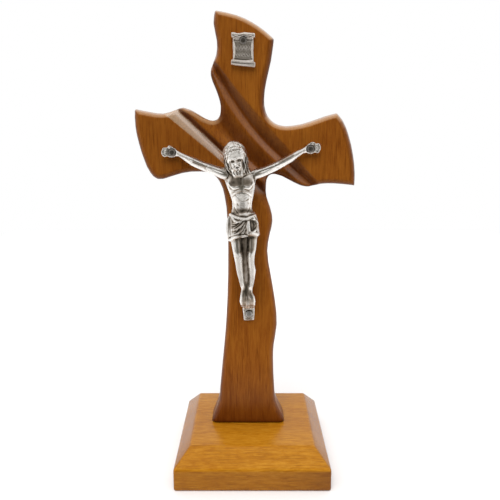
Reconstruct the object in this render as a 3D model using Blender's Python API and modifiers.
"""Standing cross: a shaped wooden cross on a chamfered base, with a cast metal figure.

Metres, +Z up. The origin is on the table, under the middle of the base, and the front of the
cross looks towards -Y. The cross is drawn in millimetres from its foot, and the figure in
millimetres from the lower edge of its foot plate, so each can be resized on its own.
"""

import math

import bmesh
import bpy
from mathutils import Matrix, Vector

MM = 0.001
GAP = 0.3 * MM

# Base block
BASE_SIDE = 80.7 * MM
BASE_HEIGHT = 20.8 * MM
CHAMFER_WIDTH = 8.1 * MM
CHAMFER_HEIGHT = 9.1 * MM
BASE_EDGE_ROUND = 0.8 * MM

# Wooden cross
CROSS_HEIGHT = 218.2 * MM
CROSS_SPAN = 112.9 * MM
CROSS_THICKNESS = 16.0 * MM
CROSS_EDGE_ROUND = 2.4 * MM
SASH_DEPTH = 3.2 * MM
SHARP_EDGE = 40.0

# Cast figure
FIGURE_HEIGHT = 95.0 * MM
PLATE_WIDTH = 6.9 * MM
PLATE_LENGTH = 7.0 * MM
PLATE_THICKNESS = 1.9 * MM
PLATE_TAPER = 0.84
PLATE_LEAN = 0.35 * MM
PLATE_BEHIND_FEET = 2.1 * MM
PLATE_THINNER_BELOW = 0.9 * MM

# Cast scroll
SCROLL_WIDTH = 10.6 * MM
SCROLL_HEIGHT = 13.4 * MM
SCROLL_THICKNESS = 1.3 * MM
SCROLL_ROLL = 2.7 * MM
SCROLL_WAIST = 0.84
UPPER_ROLL_LENGTH = 1.09
LOWER_ROLL_LENGTH = 1.13
LOWER_ROLL_SLANT = 6.0

# Nails
NAIL_HEAD = 3.8 * MM
NAIL_HEAD_RISE = 0.9 * MM
NAIL_SHANK = 1.2 * MM
NAIL_IN_WOOD = 7.0 * MM
NAIL_CLEARANCE = 0.3 * MM
DRILL_REACH = 12.0 * MM

# Sizes at which the two free forms are drawn, in millimetres
DRAWN_HEIGHT = 219.4
DRAWN_SPAN = 113.5
DRAWN_FIGURE = 95.5
SHOULDER_RISE = 80.0

FRONT = -CROSS_THICKNESS / 2
FOOT = BASE_HEIGHT + GAP


def on_cross(x, rise):
    """A drawn point of the cross, in metres: across, and above the table."""
    return x * CROSS_SPAN / DRAWN_SPAN, FOOT + rise * CROSS_HEIGHT / DRAWN_HEIGHT


FIGURE_SCALE = FIGURE_HEIGHT / DRAWN_FIGURE
FIGURE_X, SHOULDER_Z = on_cross(-5.0, 140.2)


def on_figure(x, rise):
    """A drawn point of the figure, in metres: across, and above the table."""
    return FIGURE_X + x * FIGURE_SCALE, SHOULDER_Z + (rise - SHOULDER_RISE) * FIGURE_SCALE


# Points of the cross that carry other pieces, as drawn on the cross or on the figure
PALM_LEFT = on_figure(-36.0, 89.8)
PALM_RIGHT = on_figure(34.6, 91.6)
PLATE_BOTTOM = on_figure(3.3, 0.0)
PLATE_NAIL = (PLATE_BOTTOM[0], PLATE_BOTTOM[1] + PLATE_LENGTH * 0.55)
PALM_RISE = 2.5 * FIGURE_SCALE
SCROLL_CENTRE = on_cross(-4.6, 200.5)
SCROLL_NAIL = (SCROLL_CENTRE[0], SCROLL_CENTRE[1] + SCROLL_HEIGHT * 0.3)


def clear_scene():
    for item in list(bpy.data.objects):
        bpy.data.objects.remove(item, do_unlink=True)


def new_collection(name):
    collection = bpy.data.collections.new(name)
    bpy.context.scene.collection.children.link(collection)
    return collection


def material(name, colour, roughness, metallic=0.0):
    made = bpy.data.materials.new(name)
    made.use_nodes = True
    shader = made.node_tree.nodes["Principled BSDF"]
    shader.inputs["Base Color"].default_value = (*colour, 1.0)
    shader.inputs["Roughness"].default_value = roughness
    shader.inputs["Metallic"].default_value = metallic
    return made


def add_object(name, mesh, collection, look=None):
    item = bpy.data.objects.new(name, mesh)
    collection.objects.link(item)
    if look is not None:
        mesh.materials.append(look)
    return item


def mesh_from(bm, name):
    bmesh.ops.recalc_face_normals(bm, faces=bm.faces)
    mesh = bpy.data.meshes.new(name)
    bm.to_mesh(mesh)
    bm.free()
    return mesh


def mark_cutter(item):
    item.hide_render = True
    item.display_type = "WIRE"
    return item


def cut(target, cutter):
    boolean = target.modifiers.new("cut " + cutter.name, "BOOLEAN")
    boolean.operation = "DIFFERENCE"
    boolean.object = cutter


def box_mesh(name, low, high):
    bm = bmesh.new()
    size = Vector(high) - Vector(low)
    middle = (Vector(high) + Vector(low)) / 2
    bmesh.ops.create_cube(bm, size=1.0, matrix=Matrix.Translation(middle) @ Matrix.Diagonal((*size, 1.0)))
    return mesh_from(bm, name)


# Base block

def make_base(parts):
    """A square block whose top edge is planed off all round."""
    straight = BASE_HEIGHT - CHAMFER_HEIGHT
    half = BASE_SIDE / 2
    bm = bmesh.new()
    middle = Matrix.Translation((0, 0, straight / 2))
    size = Matrix.Diagonal((BASE_SIDE, BASE_SIDE, straight, 1.0))
    bmesh.ops.create_cube(bm, size=1.0, matrix=middle @ size)
    top = [face for face in bm.faces if face.normal.z > 0.9]
    raised = bmesh.ops.extrude_face_region(bm, geom=top)["geom"]
    bmesh.ops.delete(bm, geom=top, context="FACES")
    corners = [part for part in raised if isinstance(part, bmesh.types.BMVert)]
    inset = (half - CHAMFER_WIDTH) / half
    bmesh.ops.scale(bm, vec=(inset, inset, 1.0), verts=corners)
    bmesh.ops.translate(bm, vec=(0, 0, CHAMFER_HEIGHT), verts=corners)
    look = material("honey varnish", (0.55, 0.25, 0.055), 0.3)
    base = add_object("base", mesh_from(bm, "base"), parts, look)
    bevel = base.modifiers.new("edges", "BEVEL")
    bevel.width = BASE_EDGE_ROUND
    bevel.segments = 2
    bevel.limit_method = "ANGLE"
    bevel.angle_limit = math.radians(25)
    base.data.shade_smooth()


# Wooden cross

# The outline, anticlockwise from the foot's right corner, as seen from the front.
# The third value is True at a sharp corner.
OUTLINE = (
    (18.3, -6, True), (18.0, 1.5, False), (15.5, 6.8, False), (13.1, 12.5, False),
    (12.4, 20, False), (11.6, 38, False), (11.9, 45.5, False), (13.5, 57, False),
    (12.4, 70.5, False), (10.0, 84.5, False), (8.1, 98, False), (9.3, 107, False),
    (10.7, 114.2, False), (9.5, 121, False), (7.5, 126.8, False), (7.2, 133.3, False),
    (8.5, 138, False), (12.0, 138.8, False), (18.5, 136.2, False), (25.0, 133, False),
    (29.5, 132.3, False), (35.5, 133.7, False), (43.0, 133.9, False), (53.4, 132.9, True),
    (53.4, 139.5, False), (52.2, 148.8, False), (49.4, 159.3, False), (46.3, 166.2, False),
    (43.2, 169.8, True), (37.5, 168.3, False), (29.5, 165.5, False), (20.5, 163.5, False),
    (14.0, 163.7, False), (9.4, 166.3, False), (6.8, 170.6, False), (6.0, 177, False),
    (7.2, 186, False), (9.4, 195.6, False), (10.8, 205.9, True), (6.0, 209.9, False),
    (0.0, 213.8, False), (-8.0, 217.3, False), (-18.6, 219.5, True), (-19.4, 213.5, False),
    (-17.8, 205, False), (-18.2, 198.3, False), (-20.6, 192.5, False), (-21.1, 188.5, False),
    (-19.0, 182.6, False), (-16.8, 176.5, False), (-16.2, 170.7, False), (-18.0, 166.7, False),
    (-21.8, 166.2, False), (-28.0, 169.4, False), (-35.2, 172.6, False), (-39.7, 171.2, False),
    (-45.5, 169.6, False), (-52.0, 170.3, False), (-60.1, 171.9, True), (-60.1, 163, False),
    (-58.5, 154.3, False), (-56.0, 145.8, False), (-53.2, 139.6, False), (-49.4, 136.2, False),
    (-43.5, 137.2, False), (-36.5, 139.3, False), (-27.0, 140.1, False), (-20.9, 139, False),
    (-17.0, 134.8, False), (-14.6, 127.5, False), (-13.2, 115, False), (-12.9, 97, False),
    (-13.4, 74, False), (-14.6, 54, False), (-16.3, 36.5, False), (-17.8, 20.5, False),
    (-18.6, 12.5, False), (-20.8, 6.2, False), (-22.6, 1.2, False), (-22.8, -6, True),
)

# The sash: eight lines that run down to the right across the cross, each through four points
# and with its depth as a share of the deepest groove. The first and last lie on the flat face.
SASH = (
    (((-49, 172.8), (-29, 156.4), (-9, 138.8), (13, 113.7)), 0.0),
    (((-45.5, 174.6), (-27, 158.2), (-7.6, 140.4), (13.6, 118)), 0.36),
    (((-43, 175.7), (-25.5, 159.6), (-6.3, 141.5), (14, 122)), 0.84),
    (((-41, 177.6), (-23.5, 161.2), (-4.5, 143.8), (15, 126.2)), 0.12),
    (((-24, 176.2), (-14.5, 162.7), (-2, 147.2), (16, 130.7)), 0.92),
    (((-22, 193.2), (-14.2, 175.4), (3.2, 153.4), (32, 127.7)), 0.2),
    (((-22.5, 198.2), (-9.8, 177.4), (6.5, 156), (36, 129.4)), 1.0),
    (((-22, 199.7), (-5.4, 178.5), (12, 159), (40, 128.2)), 0.0),
)
SASH_STEPS = 14
SASH_OVERSHOOT = 3.0
SASH_RUN_OUT = -0.5


def outline_curve(name, points, depth, rounding, collection):
    """A closed flat outline, extruded to a board with rounded edges and made a mesh."""
    curve = bpy.data.curves.new(name, "CURVE")
    curve.dimensions = "2D"
    curve.fill_mode = "BOTH"
    curve.resolution_u = 2
    curve.extrude = depth / 2 - rounding
    curve.bevel_depth = rounding
    curve.bevel_resolution = 1
    curve.offset = -rounding
    spline = curve.splines.new("BEZIER")
    spline.bezier_points.add(len(points) - 1)
    for knot, (x, z, sharp) in zip(spline.bezier_points, points):
        knot.co = (x, z, 0)
        kind = "VECTOR" if sharp else "AUTO"
        knot.handle_left_type = kind
        knot.handle_right_type = kind
    spline.use_cyclic_u = True
    board = bpy.data.objects.new(name, curve)
    collection.objects.link(board)
    board.rotation_euler.x = math.radians(90)
    bpy.context.view_layer.update()
    mesh = bpy.data.meshes.new_from_object(board.evaluated_get(bpy.context.evaluated_depsgraph_get()))
    mesh.transform(board.matrix_world)
    bpy.data.objects.remove(board, do_unlink=True)
    bm = bmesh.new()
    bm.from_mesh(mesh)
    bmesh.ops.remove_doubles(bm, verts=bm.verts, dist=0.00002)
    bmesh.ops.recalc_face_normals(bm, faces=bm.faces)
    bm.to_mesh(mesh)
    bm.free()
    mesh.name = name
    return mesh


def along(points, share):
    """The place at a share of the way along a smooth line through the points."""
    spans = len(points) - 1
    index = min(int(share * spans), spans - 1)
    local = share * spans - index
    before = Vector(points[max(index - 1, 0)])
    start = Vector(points[index])
    end = Vector(points[index + 1])
    after = Vector(points[min(index + 2, spans)])
    turn = (2 * before - 5 * start + 4 * end - after) * local**2
    bend = (3 * start - before - 3 * end + after) * local**3
    return (2 * start + (end - before) * local + turn + bend) / 2


def make_sash_cutter(cutters):
    """The block whose underside has the flutes and ridges of the sash."""
    bm = bmesh.new()
    rows = []
    for step in range(SASH_STEPS + 1):
        share = step / SASH_STEPS
        places = [along(line, share) for line, depth in SASH]
        depths = [depth for line, depth in SASH]
        outward = (places[0] - places[1]).normalized() * SASH_OVERSHOOT
        places.insert(0, places[0] + outward)
        depths.insert(0, SASH_RUN_OUT)
        outward = (places[-1] - places[-2]).normalized() * SASH_OVERSHOOT
        places.append(places[-1] + outward)
        depths.append(SASH_RUN_OUT)
        section = []
        for place, depth in zip(places, depths):
            x, z = on_cross(*place)
            section.append(bm.verts.new((x, FRONT + depth * SASH_DEPTH, z)))
        for place in (places[-1], places[0]):
            x, z = on_cross(*place)
            section.append(bm.verts.new((x, FRONT - 2 * SASH_DEPTH, z)))
        rows.append(section)
    for upper, lower in zip(rows, rows[1:]):
        for index in range(len(upper)):
            following = (index + 1) % len(upper)
            bm.faces.new((upper[index], upper[following], lower[following], lower[index]))
    bm.faces.new(rows[0])
    bm.faces.new(reversed(rows[-1]))
    bmesh.ops.triangulate(bm, faces=bm.faces)
    return mark_cutter(add_object("sash_cutter", mesh_from(bm, "sash_cutter"), cutters))


def make_cross(parts, cutters, bores):
    """One board: outline with rounded edges, sash carved across it, foot sawn flat."""
    points = []
    for x, rise, sharp in OUTLINE:
        across, up = on_cross(x, rise)
        points.append((across, up, sharp))
    board = outline_curve("cross", points, CROSS_THICKNESS, CROSS_EDGE_ROUND, parts)
    cross = add_object("cross", board, parts, material("walnut varnish", (0.33, 0.12, 0.02), 0.32))
    waste = CROSS_SPAN
    below = box_mesh("foot_trim", (-waste, -waste, FOOT - waste), (waste, waste, FOOT))
    cut(cross, mark_cutter(add_object("foot_trim", below, cutters)))
    cut(cross, make_sash_cutter(cutters))
    for bore in bores:
        cut(cross, bore)
    cross.data.shade_smooth()
    cross.data.set_sharp_from_angle(angle=math.radians(SHARP_EDGE))


# Nails

def make_bore(name, place, cutters):
    """The hole for a nail's shank, through the casting and into the wood."""
    x, z = place
    radius = NAIL_SHANK / 2 + NAIL_CLEARANCE
    deep_end = FRONT + NAIL_IN_WOOD + NAIL_CLEARANCE
    near_end = FRONT - DRILL_REACH
    length = deep_end - near_end
    bm = bmesh.new()
    turn = Matrix.Translation((x, (deep_end + near_end) / 2, z)) @ Matrix.Rotation(math.radians(90), 4, "X")
    bmesh.ops.create_cone(
        bm, cap_ends=True, segments=10, radius1=radius, radius2=radius, depth=length, matrix=turn
    )
    return mark_cutter(add_object(name, mesh_from(bm, name), cutters))


def make_seat(name, place, rise, cutters):
    """The flat recess in which a nail's head sits, open to the front."""
    x, z = place
    radius = NAIL_HEAD / 2 + NAIL_CLEARANCE
    bm = bmesh.new()
    depth = DRILL_REACH
    turn = Matrix.Translation((x, FRONT - rise - depth / 2, z)) @ Matrix.Rotation(math.radians(90), 4, "X")
    bmesh.ops.create_cone(
        bm, cap_ends=True, segments=16, radius1=radius, radius2=radius, depth=depth, matrix=turn
    )
    return mark_cutter(add_object(name, mesh_from(bm, name), cutters))


def make_nail(name, place, rise, parts, look):
    """A turned nail: low domed head, straight shank and a short point, driven towards +Y."""
    x, z = place
    head = NAIL_HEAD / 2
    shank = NAIL_SHANK / 2
    under = rise + GAP
    tip = -NAIL_IN_WOOD
    profile = (
        (0, under + NAIL_HEAD_RISE),
        (head * 0.62, under + NAIL_HEAD_RISE * 0.82),
        (head, under + NAIL_HEAD_RISE * 0.3),
        (head, under),
        (shank, under),
        (shank, tip + 3 * shank),
        (0, tip),
    )
    bm = bmesh.new()
    knots = [bm.verts.new((radius, 0, height)) for radius, height in profile]
    for first, second in zip(knots, knots[1:]):
        bm.edges.new((first, second))
    mesh = bpy.data.meshes.new(name)
    bm.to_mesh(mesh)
    bm.free()
    nail = add_object(name, mesh, parts, look)
    nail.location = (x, FRONT, z)
    nail.rotation_euler.x = math.radians(90)
    screw = nail.modifiers.new("turned", "SCREW")
    screw.axis = "Z"
    screw.steps = 14
    screw.render_steps = 14
    screw.use_merge_vertices = True
    screw.merge_threshold = 0.00005
    screw.use_smooth_shade = True


# Cast scroll

SCROLL_GRAIN = 0.3 * MM
SCROLL_FACETS = 0.09


def make_titulus(parts, holes, look):
    """A small panel with waisted sides between two rolled ends, the lower one slanting."""
    x, z = SCROLL_CENTRE
    half = SCROLL_WIDTH / 2
    tall = SCROLL_HEIGHT / 2
    waist = half * SCROLL_WAIST
    points = (
        (x - half, z - tall, True), (x - waist, z - tall * 0.2, False), (x - half, z + tall, True),
        (x + half, z + tall, True), (x + waist, z - tall * 0.1, False), (x + half, z - tall, True),
    )
    panel = outline_curve("titulus", points, SCROLL_THICKNESS, SCROLL_THICKNESS * 0.25, parts)
    lift = Matrix.Translation((0, FRONT - GAP - SCROLL_THICKNESS / 2, 0))
    panel.transform(lift)
    bm = bmesh.new()
    bm.from_mesh(panel)
    for end, length, slant in ((tall, UPPER_ROLL_LENGTH, 0.0), (-tall, LOWER_ROLL_LENGTH, LOWER_ROLL_SLANT)):
        place = Matrix.Translation((x, FRONT - GAP - SCROLL_ROLL * 0.42, z + end))
        turn = Matrix.Rotation(math.radians(90 + slant), 4, "Y")
        bmesh.ops.create_cone(
            bm, cap_ends=True, segments=12, radius1=SCROLL_ROLL / 2, radius2=SCROLL_ROLL / 2,
            depth=SCROLL_WIDTH * length, matrix=place @ turn,
        )
    mesh = mesh_from(bm, "titulus")
    titulus = add_object("titulus", mesh, parts, look)
    weld = titulus.modifiers.new("one casting", "REMESH")
    weld.mode = "VOXEL"
    weld.voxel_size = SCROLL_GRAIN
    thin = titulus.modifiers.new("facets", "DECIMATE")
    thin.ratio = SCROLL_FACETS
    for hole in holes:
        cut(titulus, hole)


# Cast figure

# Limbs and trunk: across, rise, stand-off from the wood, half width, half depth
TRUNK = (
    (0.3, 48, 5.2, 7.2, 4.6), (0.2, 54, 5.0, 7.0, 4.6), (-0.1, 58.5, 4.9, 6.2, 4.3),
    (-0.2, 61.5, 4.9, 5.2, 3.8), (-0.1, 65, 5.5, 5.3, 4.2), (-0.2, 69, 6.2, 6.2, 4.8),
    (-0.6, 73, 6.6, 7.2, 5.0), (-1.1, 76.5, 6.2, 8.0, 4.6), (-1.3, 79.5, 5.6, 6.8, 3.9),
    (-1.5, 82, 5.6, 3.6, 3.2), (-2.2, 85, 7.0, 2.7, 2.8),
)
ARM_LEFT = (
    (-6.6, 78.2, 6.0, 2.6, 2.8), (-10.0, 79.6, 6.0, 2.9, 2.8), (-13.5, 80.9, 5.7, 2.55, 2.5),
    (-17.5, 82.3, 5.2, 2.45, 2.4), (-21.0, 83.6, 4.8, 2.3, 2.2), (-25.0, 85.3, 4.3, 2.3, 2.1),
    (-29.0, 87.3, 3.5, 1.75, 1.7), (-32.2, 89.0, 2.8, 1.35, 1.4), (-34.0, 89.5, 2.4, 1.8, 1.3),
)
ARM_RIGHT = (
    (4.2, 78.2, 6.0, 2.6, 2.8), (7.6, 79.4, 6.0, 2.7, 2.8), (11.5, 80.8, 5.7, 2.4, 2.4),
    (16.0, 82.7, 5.2, 2.3, 2.3), (20.5, 84.9, 4.7, 2.2, 2.15), (24.5, 87.1, 4.1, 2.15, 2.0),
    (28.0, 89.2, 3.4, 1.75, 1.6), (30.7, 90.6, 2.8, 1.4, 1.4), (32.4, 91.2, 2.4, 1.8, 1.3),
)
LEG_LEFT = (
    (-3.2, 51, 5.8, 3.8, 4.0), (-3.1, 46, 7.2, 3.2, 3.6), (-2.8, 41.5, 8.6, 2.6, 3.0),
    (-2.2, 37.2, 9.6, 2.3, 2.5), (-1.8, 33.5, 9.0, 2.0, 2.2), (-1.4, 29, 7.8, 1.85, 2.2),
    (-0.6, 24, 6.5, 1.45, 1.8), (0.4, 18.5, 5.3, 1.25, 1.4), (0.2, 15, 5.4, 1.7, 1.6),
    (0.2, 12, 5.0, 2.1, 1.4), (0.7, 9.2, 4.2, 1.8, 0.9), (0.9, 8.2, 3.9, 1.3, 0.6),
)
LEG_RIGHT = (
    (3.6, 51, 5.8, 3.6, 4.0), (4.8, 46, 7.2, 2.8, 3.5), (4.7, 41.5, 8.6, 2.3, 2.9),
    (4.2, 37.2, 9.6, 2.0, 2.5), (4.3, 33.5, 9.0, 1.8, 2.2), (5.0, 29.5, 8.0, 1.9, 2.2),
    (4.9, 24.5, 6.7, 1.45, 1.8), (4.1, 19, 5.4, 1.15, 1.4), (4.0, 16.6, 5.2, 1.25, 1.4),
    (4.8, 14.4, 5.4, 1.7, 1.5),
    (5.0, 12, 5.0, 1.9, 1.4), (4.9, 9.2, 4.2, 1.8, 0.9), (4.9, 8.2, 3.9, 1.3, 0.6),
)
WEB_BETWEEN_LEGS = (
    (1.2, 50, 4.8, 2.6, 3.6), (1.2, 44, 5.2, 2.4, 3.6), (1.2, 36, 5.2, 2.4, 3.6),
    (1.9, 22, 3.6, 1.9, 2.7), (2.6, 15, 3.6, 2.8, 2.8), (2.7, 11, 3.2, 2.8, 2.4),
    (2.8, 8, 2.2, 3.3, 1.7),
)
CLOTH = (
    (0.1, 59.0, 5.1, 6.2, 4.7), (0.3, 57.6, 5.3, 7.2, 5.2), (0.5, 53, 5.8, 7.9, 5.8),
    (0.5, 49.5, 6.2, 8.3, 6.3), (0.5, 47.4, 6.4, 8.4, 6.4),
)
CLOTH_TAIL = ((-6.2, 54, 4.6, 1.6, 3.6), (-6.6, 49, 5.0, 1.5, 3.9), (-6.9, 44.9, 5.2, 1.1, 3.4))

# Lumps: across, rise, stand-off, radii across, up and out, and lean in degrees
LUMPS = (
    # Head, jaw and beard
    (-3.8, 89.1, 7.6, 6.15, 6.9, 5.6, 10),
    (-3.2, 84.4, 9.2, 3.8, 5.2, 4.0, 12),
    (-2.4, 80.4, 9.3, 3.2, 3.2, 2.6, 14),
    # Breast muscles
    (-4.4, 74.6, 8.0, 4.0, 3.4, 2.4, -10),
    (2.5, 74.8, 8.0, 4.0, 3.4, 2.4, 10),
    # Palms
    (-36.2, 89.8, 1.8, 3.2, 2.7, 1.5, 0),
    (34.6, 91.6, 1.8, 3.2, 2.6, 1.5, 0),
    # Knees, and the knot of the rope
    (-2.2, 37.6, 10.6, 1.8, 2.0, 1.8, 0),
    (4.2, 37.6, 10.6, 1.7, 2.0, 1.8, 0),
    (5.1, 57.2, 10.0, 1.4, 1.3, 1.1, 0),
)

# Cords of clay laid on the figure: half thickness, then across, rise and stand-off
CORDS = (
    # Rope round the hips, and the loop that hangs from it
    (0.7, ((-7.3, 58.9, 5.0), (-4.9, 57.8, 8.6), (-1.5, 56.8, 10.4), (1.9, 56.5, 10.7))),
    (0.7, ((1.9, 56.5, 10.7), (3.8, 57.3, 10.4), (6.8, 58.2, 6.0))),
    (0.65, ((-5.8, 57.7, 8.2), (-3.6, 55.3, 10.4), (-1.7, 55.0, 10.9), (0.6, 56.1, 10.8))),
    # Folds of the cloth, its hanging end and its hem
    (0.8, ((1.6, 55.2, 10.8), (-0.4, 53.2, 11.3), (-3.0, 51.8, 11.4), (-6.0, 51.0, 9.8))),
    (0.8, ((2.0, 54.2, 11.0), (0.6, 51.4, 11.9), (-2.0, 49.6, 12.1), (-5.2, 48.6, 11.0))),
    (0.7, ((2.2, 52.8, 11.4), (1.2, 50.4, 12.2), (-0.6, 48.5, 12.5))),
    (1.0, ((3.2, 55.9, 10.8), (3.0, 53.3, 11.6), (3.2, 50.6, 12.4), (2.4, 49.4, 12.8))),
    (0.8, ((5.2, 56.8, 9.8), (6.9, 55.6, 9.0), (8.0, 53.4, 8.4))),
    (0.8, ((2.9, 49.0, 12.8), (5.0, 50.0, 12.4), (7.2, 51.8, 10.2))),
    (0.75, ((-7.4, 45.0, 7.6), (-4.4, 47.2, 11.4), (-0.8, 48.0, 12.8), (2.6, 48.3, 12.8))),
    (0.75, ((2.9, 49.0, 12.8), (5.6, 49.2, 12.0), (8.5, 49.0, 8.6))),
    (0.8, ((-7.2, 57.6, 6.0), (-7.9, 52.0, 7.2), (-7.6, 45.6, 7.4))),
    # Arch of the ribs
    (0.5, ((-5.7, 68.4, 8.2), (-3.2, 70.2, 10.3), (-0.4, 71.4, 11.2))),
    (0.5, ((-0.4, 71.4, 11.2), (2.5, 70.2, 10.3), (4.8, 68.4, 8.2))),
    # Hair that falls on each side
    (1.5, ((-7.4, 90.5, 6.6), (-8.2, 86.5, 7.0), (-7.4, 82.2, 7.0), (-6.2, 78.8, 7.8))),
    (1.5, ((0.6, 90.5, 6.6), (1.6, 86.5, 7.0), (1.8, 82.6, 7.0), (2.0, 79.8, 7.8))),
    (0.7, ((-5.4, 95.0, 7.4), (-7.4, 92.8, 9.6), (-9.0, 90.4, 9.0))),
    (0.7, ((-3.4, 95.6, 7.8), (-0.8, 93.6, 10.0), (1.4, 90.6, 9.6))),
    (0.8, ((-7.9, 87.0, 9.2), (-8.0, 83.6, 9.4), (-6.6, 80.4, 9.2))),
    (0.8, ((1.6, 87.0, 9.2), (1.8, 83.4, 9.4), (1.2, 80.6, 9.2))),
    # Wreath of thorns, in two strands
    (0.8, ((-9.3, 86.8, 7.6), (-7.0, 88.4, 11.2), (-3.4, 90.0, 12.8))),
    (0.8, ((-3.4, 90.0, 12.8), (-0.2, 90.6, 12.0), (2.0, 88.8, 8.6))),
    (0.8, ((-9.7, 88.4, 6.8), (-7.2, 90.2, 11.0), (-3.8, 91.4, 12.6))),
    (0.8, ((-3.8, 91.4, 12.6), (-0.6, 91.6, 11.6), (1.7, 90.2, 8.0))),
    # Forked beard, brows and nose
    (0.7, ((-5.4, 82.6, 10.8), (-4.4, 79.2, 10.6), (-3.2, 77.8, 10.4))),
    (0.7, ((-0.2, 82.6, 10.8), (-0.4, 79.2, 10.6), (-1.2, 77.8, 10.4))),
    (0.55, ((-6.1, 85.7, 11.6), (-4.9, 86.7, 12.7), (-3.5, 86.6, 13.2))),
    (0.55, ((-3.5, 86.6, 13.2), (-2.2, 87.3, 12.8), (-0.8, 86.9, 11.6))),
    (0.6, ((-3.5, 86.9, 12.9), (-3.2, 85.2, 13.6), (-2.8, 83.7, 13.6))),
    # Fingers and thumb of the hand on the left
    (0.7, ((-38.4, 92.0, 2.4), (-40.2, 91.8, 3.2), (-40.4, 91.4, 2.2))),
    (0.7, ((-38.6, 90.6, 2.4), (-40.8, 90.4, 3.3), (-41.0, 90.2, 2.2))),
    (0.7, ((-38.6, 89.3, 2.4), (-40.7, 89.1, 3.2), (-40.9, 89.0, 2.2))),
    (0.65, ((-38.2, 88.1, 2.4), (-39.9, 88.0, 3.0), (-40.1, 88.0, 2.2))),
    (0.75, ((-34.4, 91.0, 2.4), (-36.6, 92.6, 2.8), (-38.2, 93.0, 2.4))),
    # Fingers and thumb of the hand on the right
    (0.7, ((36.8, 93.8, 2.4), (38.6, 94.0, 3.2), (38.8, 93.6, 2.2))),
    (0.7, ((37.0, 92.5, 2.4), (39.2, 92.7, 3.3), (39.4, 92.4, 2.2))),
    (0.7, ((37.0, 91.2, 2.4), (39.1, 91.3, 3.2), (39.3, 91.1, 2.2))),
    (0.65, ((36.6, 90.0, 2.4), (38.3, 90.0, 3.0), (38.5, 89.9, 2.2))),
    (0.75, ((33.0, 93.0, 2.4), (35.0, 94.5, 2.8), (36.8, 94.8, 2.4))),
)
CLAY_GRAIN = 0.42
CORPUS_FACETS = 0.072


def add_tube(bm, stations, sides=14):
    """A closed skin through oval rings that stand square to the line through their centres."""
    centres = [Vector((x, -out, rise)) for x, rise, out, wide, deep in stations]
    rings = []
    for index, (centre, station) in enumerate(zip(centres, stations)):
        before = centres[max(index - 1, 0)]
        after = centres[min(index + 1, len(centres) - 1)]
        heading = (after - before).normalized()
        across = heading.cross(Vector((0, 1, 0))).normalized()
        outward = across.cross(heading).normalized()
        ring = []
        for side in range(sides):
            turn = 2 * math.pi * side / sides
            offset = across * (math.cos(turn) * station[3]) + outward * (math.sin(turn) * station[4])
            ring.append(bm.verts.new(centre + offset))
        rings.append(ring)
    for lower, upper in zip(rings, rings[1:]):
        for side in range(sides):
            following = (side + 1) % sides
            bm.faces.new((lower[side], lower[following], upper[following], upper[side]))
    bm.faces.new(reversed(rings[0]))
    bm.faces.new(rings[-1])


def add_lump(bm, x, rise, out, wide, tall, deep, lean):
    place = Matrix.Translation((x, -out, rise)) @ Matrix.Rotation(math.radians(-lean), 4, "Y")
    bmesh.ops.create_uvsphere(
        bm, u_segments=20, v_segments=12, radius=1.0, matrix=place @ Matrix.Diagonal((wide, deep, tall, 1.0))
    )


def add_cord(bm, radius, points, steps=10):
    """A round cord laid along a smooth line, thinner at both ends."""
    stations = []
    for step in range(steps + 1):
        share = step / steps
        x, rise, out = along(points, share)
        size = radius * (0.45 + 0.55 * math.sin(math.pi * share) ** 0.5)
        stations.append((x, rise, out, size, size))
    add_tube(bm, stations, 8)


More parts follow.
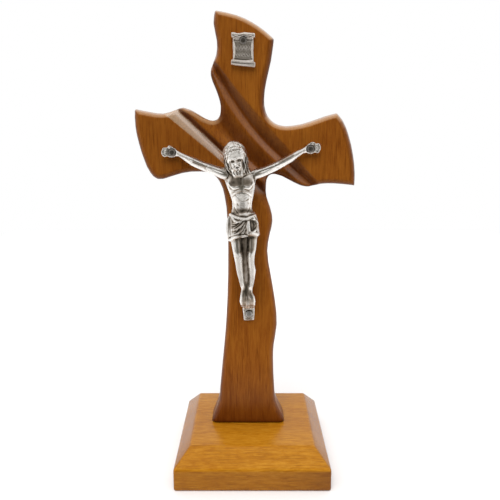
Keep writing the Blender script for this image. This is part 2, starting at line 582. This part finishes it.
def make_corpus(parts, cutters, holes, look):
    """The figure with its cloth, rope and foot plate: clay masses merged to one casting."""
    bm = bmesh.new()
    for stations in (TRUNK, ARM_LEFT, ARM_RIGHT, LEG_LEFT, LEG_RIGHT):
        add_tube(bm, stations)
    for stations in (WEB_BETWEEN_LEGS, CLOTH, CLOTH_TAIL):
        add_tube(bm, stations)
    for lump in LUMPS:
        add_lump(bm, *lump)
    for radius, points in CORDS:
        add_cord(bm, radius, points)
    place = Matrix.Translation((FIGURE_X, FRONT, SHOULDER_Z - SHOULDER_RISE * FIGURE_SCALE))
    bmesh.ops.transform(bm, matrix=place @ Matrix.Scale(FIGURE_SCALE, 4), verts=bm.verts)
    x, bottom = PLATE_BOTTOM
    blank = PLATE_LENGTH + PLATE_BEHIND_FEET
    middle = Matrix.Translation((x, FRONT - PLATE_THICKNESS / 2, bottom + blank / 2))
    size = Matrix.Diagonal((PLATE_WIDTH, PLATE_THICKNESS, blank, 1.0))
    plate = bmesh.ops.create_cube(bm, size=1.0, matrix=middle @ size)
    for corner in plate["verts"]:
        if corner.co.z < bottom + blank / 2:
            corner.co.x = x + (corner.co.x - x) * PLATE_TAPER
            if corner.co.y < FRONT - PLATE_THICKNESS / 2:
                corner.co.y += PLATE_THINNER_BELOW
        else:
            corner.co.x -= PLATE_LEAN
    corpus = add_object("corpus", mesh_from(bm, "corpus"), parts, look)
    merge = corpus.modifiers.new("one casting", "REMESH")
    merge.mode = "VOXEL"
    merge.voxel_size = CLAY_GRAIN * FIGURE_SCALE
    soften = corpus.modifiers.new("soften", "SMOOTH")
    soften.factor = 0.5
    soften.iterations = 3
    thin = corpus.modifiers.new("facets", "DECIMATE")
    thin.ratio = CORPUS_FACETS
    behind = box_mesh(
        "flat_back", (-CROSS_SPAN, FRONT - GAP, 0), (CROSS_SPAN, CROSS_SPAN, FOOT + CROSS_HEIGHT)
    )
    cut(corpus, mark_cutter(add_object("flat_back", behind, cutters)))
    for hole in holes:
        cut(corpus, hole)


def main():
    clear_scene()
    parts = new_collection("standing cross")
    cutters = new_collection("cutters")
    cast = material("antiqued metal", (0.62, 0.6, 0.57), 0.3, 1.0)
    dark = material("darkened nail", (0.12, 0.12, 0.12), 0.45, 1.0)
    nails = (
        ("nail_left_hand", PALM_LEFT, PALM_RISE),
        ("nail_right_hand", PALM_RIGHT, PALM_RISE),
        ("nail_foot", PLATE_NAIL, PLATE_THICKNESS - PLATE_THINNER_BELOW / 2),
        ("nail_titulus", SCROLL_NAIL, GAP + SCROLL_THICKNESS),
    )
    bores = []
    seats = []
    for name, place, rise in nails:
        bores.append(make_bore(name + "_bore", place, cutters))
        seats.append(make_seat(name + "_seat", place, rise, cutters))
        make_nail(name, place, rise, parts, dark)
    make_base(parts)
    make_cross(parts, cutters, bores)
    make_corpus(parts, cutters, bores[:3] + seats[:3], cast)
    make_titulus(parts, (bores[3], seats[3]), cast)


main()
